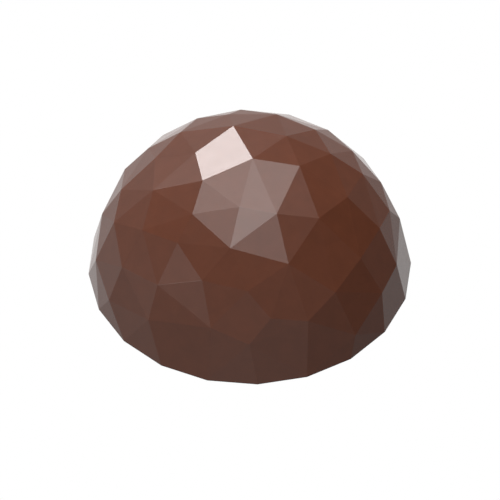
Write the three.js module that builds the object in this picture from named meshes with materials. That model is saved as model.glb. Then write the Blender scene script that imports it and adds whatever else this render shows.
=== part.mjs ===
// A chocolate praline: half a ball of moulded chocolate, cut all over in flat facets like a gem.
// Millimetres, +Z up. The origin is the middle of the flat underside, and -Y is the front.
import * as THREE from "three";
import { ConvexGeometry } from "three/addons/geometries/ConvexGeometry.js";

// Driving dimensions
const diameter = 30;
const ballMiddleBelow = 0.18;
const undersideSides = 20;
const firstUndersideCorner = 2.75;

// Colour and gloss of tempered milk chocolate
const chocolate = { color: 0x5c3a2c, roughness: 0.3, metalness: 0 };

// Every facet corner lies on the ball that the mould was cut from, whose middle is a little below the
// underside, so two angles in degrees place it: [azimuth, polar]. Azimuth runs from the front towards
// +X, and polar runs down from the crown. The facets are uneven, so the corners are set one by one,
// ring under ring, each ring going round from the back over the left, the front and the right.
const wideFacet = [[86.8, 1], [-62.3, 19.2], [-108.5, 20.9], [-162.5, 19.6]];
const facetRings = {
  crown: [[-10, 21.4], [23.2, 25.2], [85.6, 18.1], [136.3, 19.3]],
  shoulder: [
    [-175, 39.1], [-166, 32.8], [-150.9, 42.1], [-133.3, 36.1], [-109, 38.4], [-82, 37.2],
    [-45.1, 30.3], [-11.7, 36.9], [50.3, 34], [77.6, 38.3], [109.8, 32.2], [136.2, 35.9],
    [162.7, 55.3], [162.9, 34.7],
  ],
  waist: [
    [-142, 60.9], [-122.6, 48.2], [-98.3, 53.6], [-64.7, 47.4], [-42.4, 41.7], [-22.6, 50.3],
    [-1.1, 51.7], [20.4, 43.8], [101.9, 45.7], [119.9, 47.2], [137.8, 46.2],
  ],
  flank: [
    [-160, 61], [-96.4, 67], [-82.9, 58], [-62.4, 63.3], [-42.1, 58.7], [-15.3, 66.6], [8.5, 62.1],
    [23.4, 65.9], [37.9, 59.8], [56.7, 55.4], [76.9, 55.8], [91.8, 60.2], [96, 69.2], [106.5, 58],
    [146, 64], [-179, 61],
  ],
  foot: [
    [-169, 75], [-151, 77], [-132, 75], [-115.3, 58.9], [-80.4, 75.5], [-62.8, 79], [-41.2, 72.8],
    [-0.2, 71.7], [41.8, 79.9], [59.2, 72.7], [73.8, 71.6], [122.1, 79.2], [131, 69.1], [155, 76],
    [173, 76],
  ],
};

// The point on the ball at an azimuth and a polar angle in degrees
function cornerOnBall([azimuth, polar]) {
  const radius = Math.hypot(diameter / 2, ballMiddleBelow);
  const turn = THREE.MathUtils.degToRad(azimuth);
  const drop = THREE.MathUtils.degToRad(polar);
  const outward = radius * Math.sin(drop);
  const height = radius * Math.cos(drop) - ballMiddleBelow;
  return new THREE.Vector3(outward * Math.sin(turn), -outward * Math.cos(turn), height);
}

// The even corners round the flat underside
function undersideCorners() {
  const step = 360 / undersideSides;
  const corners = [];
  for (let i = 0; i < undersideSides; i += 1) {
    const turn = THREE.MathUtils.degToRad(firstUndersideCorner + i * step);
    corners.push(new THREE.Vector3(Math.sin(turn), -Math.cos(turn), 0).multiplyScalar(diameter / 2));
  }
  return corners;
}

// Four corners of a ball are not quite in one plane, so each slides onto the plane midway between them
function levelFacet(corners) {
  const [a, b, c, d] = corners;
  const middle = new THREE.Vector3();
  corners.forEach((corner) => middle.addScaledVector(corner, 1 / corners.length));
  const normal = new THREE.Vector3().subVectors(c, a).cross(new THREE.Vector3().subVectors(d, b));
  const plane = new THREE.Plane().setFromNormalAndCoplanarPoint(normal.normalize(), middle);
  return corners.map((corner) => plane.projectPoint(corner, new THREE.Vector3()));
}

// The facets are the flat faces that close round all the corners
function makePraline() {
  const corners = [
    ...levelFacet(wideFacet.map(cornerOnBall)),
    ...Object.values(facetRings).flat().map(cornerOnBall),
    ...undersideCorners(),
  ];
  const mesh = new THREE.Mesh(new ConvexGeometry(corners), new THREE.MeshStandardMaterial(chocolate));
  mesh.name = "praline";
  return mesh;
}

const part = new THREE.Group();
part.add(makePraline());

export default part;
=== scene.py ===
"""A faceted chocolate praline, dressed around its CAD solid, and its plain stage."""

import math

import bmesh
import bpy
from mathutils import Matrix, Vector


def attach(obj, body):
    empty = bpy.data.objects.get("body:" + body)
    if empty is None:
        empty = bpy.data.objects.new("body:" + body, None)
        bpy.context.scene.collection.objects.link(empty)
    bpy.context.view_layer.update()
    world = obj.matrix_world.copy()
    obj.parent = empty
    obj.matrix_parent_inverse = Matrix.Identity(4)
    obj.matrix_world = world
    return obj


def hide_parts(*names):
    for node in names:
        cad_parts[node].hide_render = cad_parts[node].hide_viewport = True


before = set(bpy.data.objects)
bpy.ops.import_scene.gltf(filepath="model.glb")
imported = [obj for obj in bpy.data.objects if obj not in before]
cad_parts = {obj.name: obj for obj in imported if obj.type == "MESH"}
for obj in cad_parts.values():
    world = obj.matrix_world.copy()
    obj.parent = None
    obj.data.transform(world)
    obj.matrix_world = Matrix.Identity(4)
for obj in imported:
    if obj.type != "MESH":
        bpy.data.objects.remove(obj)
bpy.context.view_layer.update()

bl_info = {
    "name": "Chocolate praline",
    "version": (1, 0, 0),
    "blender": (4, 5, 0),
    "location": "View3D > Sidebar > Praline",
    "description": "Makes a faceted chocolate praline and the stage it is shown on",
    "category": "Object",
}

MM = 0.001
CAD_NODE = "praline"
BODY = "root"
PIECE = "moulded_praline"

# What lies lower than this belongs to the flat underside
UNDERSIDE_HEIGHT = 0.01 * MM

# Corners of the CAD mesh's loose triangles that are closer than this are one corner
MERGE_DISTANCE = 0.001 * MM

# A praline with fewer faces than this has lost its facets
FEWEST_FACES = 100


def linear(hex_colour):
    """An sRGB hex colour as linear red, green and blue."""
    parts = [int(hex_colour[i : i + 2], 16) / 255 for i in (1, 3, 5)]
    return [c / 12.92 if c <= 0.04045 else ((c + 0.055) / 1.055) ** 2.4 for c in parts]


def towards(azimuth, elevation):
    """A unit vector: azimuth from the front towards +X, elevation up from the floor."""
    flat = math.cos(elevation)
    return Vector(
        (math.sin(azimuth) * flat, -math.cos(azimuth) * flat, math.sin(elevation))
    )


def node(tree, kind, inputs=None, **settings):
    """Adds a node with its settings, and values or links by input name or number."""
    made = tree.nodes.new(kind)
    for name, value in settings.items():
        setattr(made, name, value)
    for socket, value in (inputs or {}).items():
        target = made.inputs[socket]
        if isinstance(value, bpy.types.NodeSocket):
            tree.links.new(value, target)
        else:
            target.default_value = value
    return made


class PralineSizes(bpy.types.PropertyGroup):
    """How crisp the mould left the facets."""

    facet_edge: bpy.props.FloatProperty(
        name="Facet edge",
        description="How far the rounding reaches in from each edge between two facets",
        default=0.02 * MM,
        min=0.005 * MM,
        max=0.3 * MM,
        unit="LENGTH",
    )
    rim_edge: bpy.props.FloatProperty(
        name="Rim edge",
        description="How far the rounding reaches in from the rim of the underside",
        default=0.03 * MM,
        min=0.005 * MM,
        max=0.5 * MM,
        unit="LENGTH",
    )
    smallest_fold: bpy.props.FloatProperty(
        name="Smallest fold",
        description="Facets that meet at less than this angle count as one",
        default=math.radians(1.0),
        min=0,
        max=math.radians(20),
        subtype="ANGLE",
    )
    edge_steps: bpy.props.IntProperty(
        name="Edge steps",
        description="Number of faces across each rounded edge",
        default=3,
        min=1,
        max=8,
    )


class ChocolateFinish(bpy.types.PropertyGroup):
    """The colour and gloss of the tempered chocolate."""

    colour: bpy.props.FloatVectorProperty(
        name="Colour",
        description="Body colour of the chocolate",
        subtype="COLOR",
        size=3,
        min=0,
        max=1,
        default=linear("#582f1e"),
    )
    roughness: bpy.props.FloatProperty(
        name="Roughness",
        description="Blur of the reflections on the moulded facets",
        default=0.25,
        min=0,
        max=1,
        subtype="FACTOR",
    )
    scraped_roughness: bpy.props.FloatProperty(
        name="Scraped roughness",
        description="Blur of the reflections on the scraped underside",
        default=0.5,
        min=0,
        max=1,
        subtype="FACTOR",
    )


class StageLook(bpy.types.PropertyGroup):
    """The floor's colour and the camera's framing."""

    floor_colour: bpy.props.FloatVectorProperty(
        name="Floor colour",
        description="Colour of the plain floor and of what lies behind it",
        subtype="COLOR",
        size=3,
        min=0,
        max=1,
        default=linear("#ffffff"),
    )
    camera_elevation: bpy.props.FloatProperty(
        name="Camera elevation",
        description="How steeply the camera looks down",
        default=math.radians(46.06),
        subtype="ANGLE",
    )
    picture_width: bpy.props.FloatProperty(
        name="Picture width",
        description="Real width that the square picture takes in",
        default=46.471 * MM,
        unit="LENGTH",
    )


def facet_tree(material, sizes):
    """Geometry nodes: the hull of the corners, with a rounding weight on each fold."""
    tree = bpy.data.node_groups.new("Praline_facets", "GeometryNodeTree")
    tree.is_modifier = True
    corners, fold, share, rim = (
        tree.interface.new_socket(name, in_out="INPUT", socket_type=kind)
        for name, kind in (
            ("Corners", "NodeSocketGeometry"),
            ("Smallest fold", "NodeSocketFloat"),
            ("Facet edge share", "NodeSocketFloat"),
            ("Underside height", "NodeSocketFloat"),
        )
    )
    tree.interface.new_socket(
        "Praline", in_out="OUTPUT", socket_type="NodeSocketGeometry"
    )
    given = node(tree, "NodeGroupInput").outputs
    hull = node(tree, "GeometryNodeConvexHull", {"Geometry": given[corners.name]})
    angle = node(tree, "GeometryNodeInputMeshEdgeAngle")
    folded = node(
        tree,
        "FunctionNodeCompare",
        {0: angle.outputs["Unsigned Angle"], 1: given[fold.name]},
        data_type="FLOAT",
        operation="GREATER_THAN",
    )
    place = node(tree, "GeometryNodeInputPosition")
    height = node(tree, "ShaderNodeSeparateXYZ", {0: place.outputs[0]})
    on_rim = node(
        tree,
        "FunctionNodeCompare",
        {0: height.outputs["Z"], 1: given[rim.name]},
        data_type="FLOAT",
        operation="LESS_THAN",
    )
    full = node(
        tree,
        "GeometryNodeSwitch",
        {"Switch": on_rim.outputs[0], "False": given[share.name], "True": 1.0},
        input_type="FLOAT",
    )
    weight = node(
        tree,
        "GeometryNodeSwitch",
        {"Switch": folded.outputs[0], "False": 0.0, "True": full.outputs[0]},
        input_type="FLOAT",
    )
    stored = node(
        tree,
        "GeometryNodeStoreNamedAttribute",
        {
            "Geometry": hull.outputs[0],
            "Name": "bevel_weight_edge",
            "Value": weight.outputs[0],
        },
        data_type="FLOAT",
        domain="EDGE",
    )
    real = node(tree, "GeometryNodeRealizeInstances", {"Geometry": stored.outputs[0]})
    coated = node(
        tree,
        "GeometryNodeSetMaterial",
        {"Geometry": real.outputs[0], "Material": material},
    )
    node(tree, "NodeGroupOutput", {0: coated.outputs[0]})
    values = {
        fold.identifier: sizes.smallest_fold,
        share.identifier: sizes.facet_edge / sizes.rim_edge,
        rim.identifier: UNDERSIDE_HEIGHT,
    }
    return tree, values


# The chocolate's patterns. A size is that of a pattern's largest marks, and a depth is
# in millimetres.

# Cloudiness of the cocoa and milk solids, and the share by which it changes the brown
CLOUD_SIZE = 1.6 * MM
CLOUD_SHARE = 0.06

# Patches of gloss where the cocoa butter let go of the mould, and how far they and the
# scraper's streaks change the roughness
RELEASE_SIZE = 0.9 * MM
RELEASE_SPREAD = 0.012
SCRAPED_SPREAD = 0.08

# The mould's slow waviness
WAVE_SIZE = 3.0 * MM
WAVE_DEPTH = 0.0015

# Grain of the ground solids, which are a few hundredths of a millimetre across. That is
# too fine to show in the render, so the grain is drawn as coarse as it needs to show.
GRAIN_SIZE = 0.12 * MM
GRAIN_DEPTH = 0.0005

# The scraper's streaks run along X: length, width across, and reach upwards. Real ones
# are as fine as the grain, so they too are drawn as coarse as they need to show.
STREAK_SIZES = (7.0 * MM, 0.16 * MM, 1.0 * MM)
STREAK_DEPTH = 0.02

# Refractive index of chocolate, between that of cocoa butter, 1.46, and of sugar, 1.56
CHOCOLATE_IOR = 1.5


def noise(tree, place, size, detail):
    """A cloudy pattern between 0 and 1, whose largest clouds are about this size."""
    inputs = {"Vector": place, "Scale": 1 / size, "Detail": detail, "Roughness": 0.6}
    return node(tree, "ShaderNodeTexNoise", inputs).outputs[0]


def ranged(tree, pattern, low, high):
    """Spreads the part of a cloudy pattern that shows, 0.3 to 0.7, from low to high."""
    spread = {"From Min": 0.3, "From Max": 0.7, "To Min": low, "To Max": high}
    return node(tree, "ShaderNodeMapRange", {"Value": pattern, **spread}).outputs[0]


def around(tree, pattern, middle, spread):
    """Makes a cloudy pattern vary by the spread on both sides of a middle value."""
    return ranged(tree, pattern, middle - spread, middle + spread)


def chocolate_material(finish):
    """Tempered milk chocolate, cast against a polished mould.

    The mould gives facets with an even satin gloss, only just uneven as the cocoa
    butter let go of it, and under them cocoa and milk solids leave a faint cloudiness
    in the brown. The underside was scraped level as the mould was filled, so it is
    duller and finely streaked.
    """
    material = bpy.data.materials.new("tempered_milk_chocolate")
    material.use_nodes = True
    tree = material.node_tree
    tree.nodes.clear()
    place = node(tree, "ShaderNodeTexCoord").outputs["Object"]
    height = node(tree, "ShaderNodeSeparateXYZ", {0: place})
    limit = {0: height.outputs["Z"], 1: UNDERSIDE_HEIGHT}
    scraped = node(tree, "ShaderNodeMath", limit, operation="LESS_THAN").outputs[0]

    # The brown and its cloudiness
    clouds = noise(tree, place, CLOUD_SIZE, detail=4.0)
    browns = {
        0: ranged(tree, clouds, 0.0, 1.0),
        6: [c * (1 - CLOUD_SHARE) for c in finish.colour] + [1],
        7: [c * (1 + CLOUD_SHARE) for c in finish.colour] + [1],
    }
    brown = node(tree, "ShaderNodeMix", browns, data_type="RGBA")

    # The streaks: coordinates that run slowest along them draw the pattern out
    along = {0: place, 1: [1 / size for size in STREAK_SIZES]}
    drawn = node(tree, "ShaderNodeVectorMath", along, operation="MULTIPLY").outputs[0]
    streaks = noise(tree, drawn, 1.0, detail=2.0)

    # Gloss: satin on the facets, dull where it was scraped
    release = noise(tree, place, RELEASE_SIZE, detail=2.0)
    satin = around(tree, release, finish.roughness, RELEASE_SPREAD)
    dull = around(tree, streaks, finish.scraped_roughness, SCRAPED_SPREAD)
    either = {0: scraped, 2: satin, 3: dull}
    gloss = node(tree, "ShaderNodeMix", either, data_type="FLOAT")

    # Relief, summed up in millimetres
    waves = noise(tree, place, WAVE_SIZE, detail=1.0)
    grain = noise(tree, place, GRAIN_SIZE, detail=2.0)
    product = {0: streaks, 1: scraped}
    cut = node(tree, "ShaderNodeMath", product, operation="MULTIPLY").outputs[0]
    relief = 0.0
    for pattern, depth in (
        (waves, WAVE_DEPTH),
        (grain, GRAIN_DEPTH),
        (cut, STREAK_DEPTH),
    ):
        total = {0: pattern, 1: depth, 2: relief}
        added = node(tree, "ShaderNodeMath", total, operation="MULTIPLY_ADD")
        relief = added.outputs[0]
    bump = node(tree, "ShaderNodeBump", {"Height": relief, "Distance": MM})

    shader = node(
        tree,
        "ShaderNodeBsdfPrincipled",
        {
            "Base Color": brown.outputs[2],
            "Roughness": gloss.outputs[0],
            "IOR": CHOCOLATE_IOR,
            "Normal": bump.outputs[0],
        },
    )
    node(tree, "ShaderNodeOutputMaterial", {"Surface": shader.outputs[0]})
    return material


def corner_object():
    """A merged copy of the CAD solid's mesh, whose corners the facets are cut from."""
    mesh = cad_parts[CAD_NODE].data.copy()
    mesh.name = PIECE
    mesh.materials.clear()
    merged = bmesh.new()
    merged.from_mesh(mesh)
    bmesh.ops.remove_doubles(merged, verts=merged.verts, dist=MERGE_DISTANCE)
    merged.to_mesh(mesh)
    merged.free()
    made = bpy.data.objects.new(PIECE, mesh)
    bpy.context.scene.collection.objects.link(made)
    return made


def apply_modifiers(made):
    """Turns what the modifiers give into the object's own mesh and removes them."""
    bpy.context.view_layer.update()
    depsgraph = bpy.context.evaluated_depsgraph_get()
    mesh = bpy.data.meshes.new_from_object(
        made.evaluated_get(depsgraph),
        preserve_all_data_layers=True,
        depsgraph=depsgraph,
    )
    old = made.data
    made.modifiers.clear()
    made.data = mesh
    bpy.data.meshes.remove(old)
    mesh.name = made.name


class PRALINE_OT_mould(bpy.types.Operator):
    """Make the praline from the CAD solid's corners, in tempered chocolate"""

    bl_idname = "praline.mould"
    bl_label = "Mould praline"

    def execute(self, context):
        sizes = context.scene.praline_sizes
        material = chocolate_material(context.scene.praline_finish)
        made = corner_object()
        tree, values = facet_tree(material, sizes)
        facets = made.modifiers.new("Facets", "NODES")
        facets.node_group = tree
        for identifier, value in values.items():
            facets[identifier] = value
        edges = made.modifiers.new("Crisp edges", "BEVEL")
        edges.limit_method = "WEIGHT"
        edges.width = sizes.rim_edge
        edges.segments = sizes.edge_steps
        edges.harden_normals = True
        apply_modifiers(made)
        if len(made.data.polygons) < FEWEST_FACES:
            raise RuntimeError("the praline came out with too few faces")
        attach(made, BODY)
        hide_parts(CAD_NODE)
        return {"FINISHED"}


# The softboxes. The one behind on the left is the strongest.
BACK_LEFT_AZIMUTH = -164.7

# Name, azimuth, elevation, half angle across, radiance and colour, with all angles in
# degrees
SOFTBOXES = (
    ("overhead_softbox", 143.2, 87.1, 26.5, 5.07, "#ffffff"),
    ("back_left_softbox", BACK_LEFT_AZIMUTH, 33.0, 9.4, 16.6, "#fffaf9"),
    ("left_front_panel", -47.8, 21.5, 10, 3.63, "#ffffff"),
    ("left_back_panel", -129.7, 23, 10, 2.59, "#ffffff"),
    ("left_side_panel", -75.6, 4, 9, 2.51, "#ffffff"),
)
LIGHT_DISTANCE = 1.5

# How bright the studio round the praline is: rings of broad soft glows by their
# elevation, each going round from the front over +X. The lowest three are the pale
# table, and the rest is the room.
STUDIO_GLOWS = (
    (-75, (0.454,)),
    (-38, (0.366, 0.230, 0.189, 0.475, 0.865, 0.562, 0.431, 0.357)),
    (-5, (0.541, 0.282, 0.032, 0.000, 0.192, 0.202, 0.389, 0.150, 0.359, 0.215)),
    (28, (0.276, 0.210, 0.071, 0.000, 0.279, 0.150, 0.215, 0.213)),
    (58, (0.000, 0.027, 0.255, 0.065, 0.131)),
)
GLOW_FOCUS = 8.0

# The far side of the table, which the facets along the outline mirror at a grazing
# angle: azimuth, elevation, level and focus
TABLE_SHEEN = (180, -43, 0.55, 24.0)

# The floor lies a hair under the underside, so that the two don't share one plane
FLOOR_HEIGHT = -0.02 * MM
FLOOR_HALF_WIDTH = 3.0

# How far the contact shadow reaches out from the underside, away from the strongest
# softbox
SHADOW_REACH = 0.02 * MM
SHADOW_COLOUR = "#1c110c"

# What the camera looks at, how far back it stands, and the nearest and farthest that
# it sees
CAMERA_TARGET = Vector((0.024, 1.214, 1.170)) * MM
CAMERA_DISTANCE = 0.6
CAMERA_RANGE = (0.01, 20.0)


def add_sheet(name, corners, finish, colour):
    """A flat sheet that only the camera sees, so that it tints no chocolate."""
    mesh = bpy.data.meshes.new(name)
    mesh.from_pydata(corners, [], [tuple(range(len(corners)))])
    made = bpy.data.objects.new(name, mesh)
    bpy.context.scene.collection.objects.link(made)
    material = bpy.data.materials.new(finish)
    material.use_nodes = True
    tree = material.node_tree
    tree.nodes.clear()
    glow = node(tree, "ShaderNodeEmission", {"Color": list(colour) + [1]})
    node(tree, "ShaderNodeOutputMaterial", {"Surface": glow.outputs[0]})
    mesh.materials.append(material)
    made.visible_diffuse = False
    made.visible_glossy = False
    made.visible_transmission = False
    made.visible_shadow = False


def add_floor(colour):
    """Matt board under the whole picture, lit so evenly that it shows one tone."""
    half = FLOOR_HALF_WIDTH
    square = [(-half, -half), (half, -half), (half, half), (-half, half)]
    corners = [(x, y, FLOOR_HEIGHT) for x, y in square]
    add_sheet("floor", corners, "matt_white_board", colour)


def add_contact_shadow():
    """The thin dark line on the board where the praline's rim rests on it."""
    places = [vertex.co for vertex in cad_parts[CAD_NODE].data.vertices]
    foot = {
        (round(place.x, 6), round(place.y, 6))
        for place in places
        if place.z < UNDERSIDE_HEIGHT
    }
    ordered = sorted(foot, key=lambda corner: math.atan2(corner[1], corner[0]))
    away = towards(math.radians(BACK_LEFT_AZIMUTH + 180), 0) * SHADOW_REACH
    corners = [(x + away.x, y + away.y, FLOOR_HEIGHT / 2) for x, y in ordered]
    add_sheet("contact_shadow", corners, "shaded_white_board", linear(SHADOW_COLOUR))


def add_softbox(name, azimuth, elevation, half_angle, radiance, colour):
    """A round softbox, so far away that a flat facet mirrors one even tone of it."""
    lamp = bpy.data.lights.new(name, "AREA")
    lamp.shape = "DISK"
    radius = LIGHT_DISTANCE * math.tan(math.radians(half_angle))
    area = math.pi * radius**2
    lamp.size = 2 * radius
    lamp.energy = radiance * math.pi * area
    lamp.color = linear(colour)
    made = bpy.data.objects.new(name, lamp)
    bpy.context.scene.collection.objects.link(made)
    direction = towards(math.radians(azimuth), math.radians(elevation))
    made.location = direction * LIGHT_DISTANCE
    made.rotation_euler = direction.to_track_quat("Z", "Y").to_euler()
    made.visible_camera = False


def add_glow(tree, direction, azimuth, elevation, level, focus, before):
    """Adds a soft glow from one direction to what came before.

    The higher its focus, the tighter it is.
    """
    middle = towards(math.radians(azimuth), math.radians(elevation))
    pair = {0: direction, 1: middle}
    facing = node(tree, "ShaderNodeVectorMath", pair, operation="DOT_PRODUCT")
    floored = {0: facing.outputs["Value"], 1: 0.0}
    front = node(tree, "ShaderNodeMath", floored, operation="MAXIMUM")
    raised = {0: front.outputs[0], 1: focus}
    lobe = node(tree, "ShaderNodeMath", raised, operation="POWER")
    total = {0: lobe.outputs[0], 1: level, 2: before}
    return node(tree, "ShaderNodeMath", total, operation="MULTIPLY_ADD").outputs[0]


def add_surround(colour):
    """The soft studio round the praline. To the camera it is as plain as the floor."""
    world = bpy.data.worlds.new("studio")
    bpy.context.scene.world = world
    world.use_nodes = True
    tree = world.node_tree
    tree.nodes.clear()
    direction = node(tree, "ShaderNodeTexCoord").outputs["Generated"]
    total = add_glow(tree, direction, *TABLE_SHEEN, 0.0)
    for elevation, levels in STUDIO_GLOWS:
        for i, level in enumerate(levels):
            if level > 0:
                azimuth = 360 * i / len(levels)
                glow = (azimuth, elevation, level, GLOW_FOCUS)
                total = add_glow(tree, direction, *glow, total)
    light = node(tree, "ShaderNodeBackground", {"Strength": total})
    plain = node(tree, "ShaderNodeBackground", {"Color": list(colour) + [1]})
    seen = node(tree, "ShaderNodeLightPath")
    both = node(
        tree,
        "ShaderNodeMixShader",
        {0: seen.outputs["Is Camera Ray"], 1: light.outputs[0], 2: plain.outputs[0]},
    )
    node(tree, "ShaderNodeOutputWorld", {"Surface": both.outputs[0]})


def add_camera(elevation, width):
    """Looks down at the front, with no perspective."""
    lens = bpy.data.cameras.new("camera")
    lens.type = "ORTHO"
    lens.ortho_scale = width
    lens.clip_start, lens.clip_end = CAMERA_RANGE
    made = bpy.data.objects.new("camera", lens)
    bpy.context.scene.collection.objects.link(made)
    back = towards(0, elevation)
    made.location = CAMERA_TARGET + back * CAMERA_DISTANCE
    made.rotation_euler = back.to_track_quat("Z", "Y").to_euler()
    bpy.context.scene.camera = made


class PRALINE_OT_stage(bpy.types.Operator):
    """Set the floor, the softboxes, the studio round them and the camera"""

    bl_idname = "praline.stage"
    bl_label = "Set stage"

    def execute(self, context):
        look = context.scene.praline_stage
        add_floor(look.floor_colour)
        add_contact_shadow()
        for softbox in SOFTBOXES:
            add_softbox(*softbox)
        add_surround(look.floor_colour)
        add_camera(look.camera_elevation, look.picture_width)
        context.scene.view_settings.view_transform = "Standard"
        return {"FINISHED"}


class PRALINE_PT_panel(bpy.types.Panel):
    """Lists the praline's sizes and colours and the operators that make it"""

    bl_idname = "PRALINE_PT_panel"
    bl_label = "Chocolate praline"
    bl_space_type = "VIEW_3D"
    bl_region_type = "UI"
    bl_category = "Praline"

    def draw(self, context):
        groups = (
            (context.scene.praline_sizes, None),
            (context.scene.praline_finish, PRALINE_OT_mould),
            (context.scene.praline_stage, PRALINE_OT_stage),
        )
        for group, operator in groups:
            box = self.layout.box()
            for name in group.__annotations__:
                box.prop(group, name)
            if operator:
                box.operator(operator.bl_idname)


SCENE_GROUPS = {
    "praline_sizes": PralineSizes,
    "praline_finish": ChocolateFinish,
    "praline_stage": StageLook,
}
OPERATORS = (PRALINE_OT_mould, PRALINE_OT_stage)
CLASSES = (*SCENE_GROUPS.values(), *OPERATORS, PRALINE_PT_panel)


def register():
    for cls in CLASSES:
        bpy.utils.register_class(cls)
    for name, group in SCENE_GROUPS.items():
        setattr(bpy.types.Scene, name, bpy.props.PointerProperty(type=group))


def unregister():
    for name in SCENE_GROUPS:
        delattr(bpy.types.Scene, name)
    for cls in reversed(CLASSES):
        bpy.utils.unregister_class(cls)


def main():
    register()
    bpy.ops.praline.mould()
    bpy.ops.praline.stage()


if __name__ == "__main__":
    main()
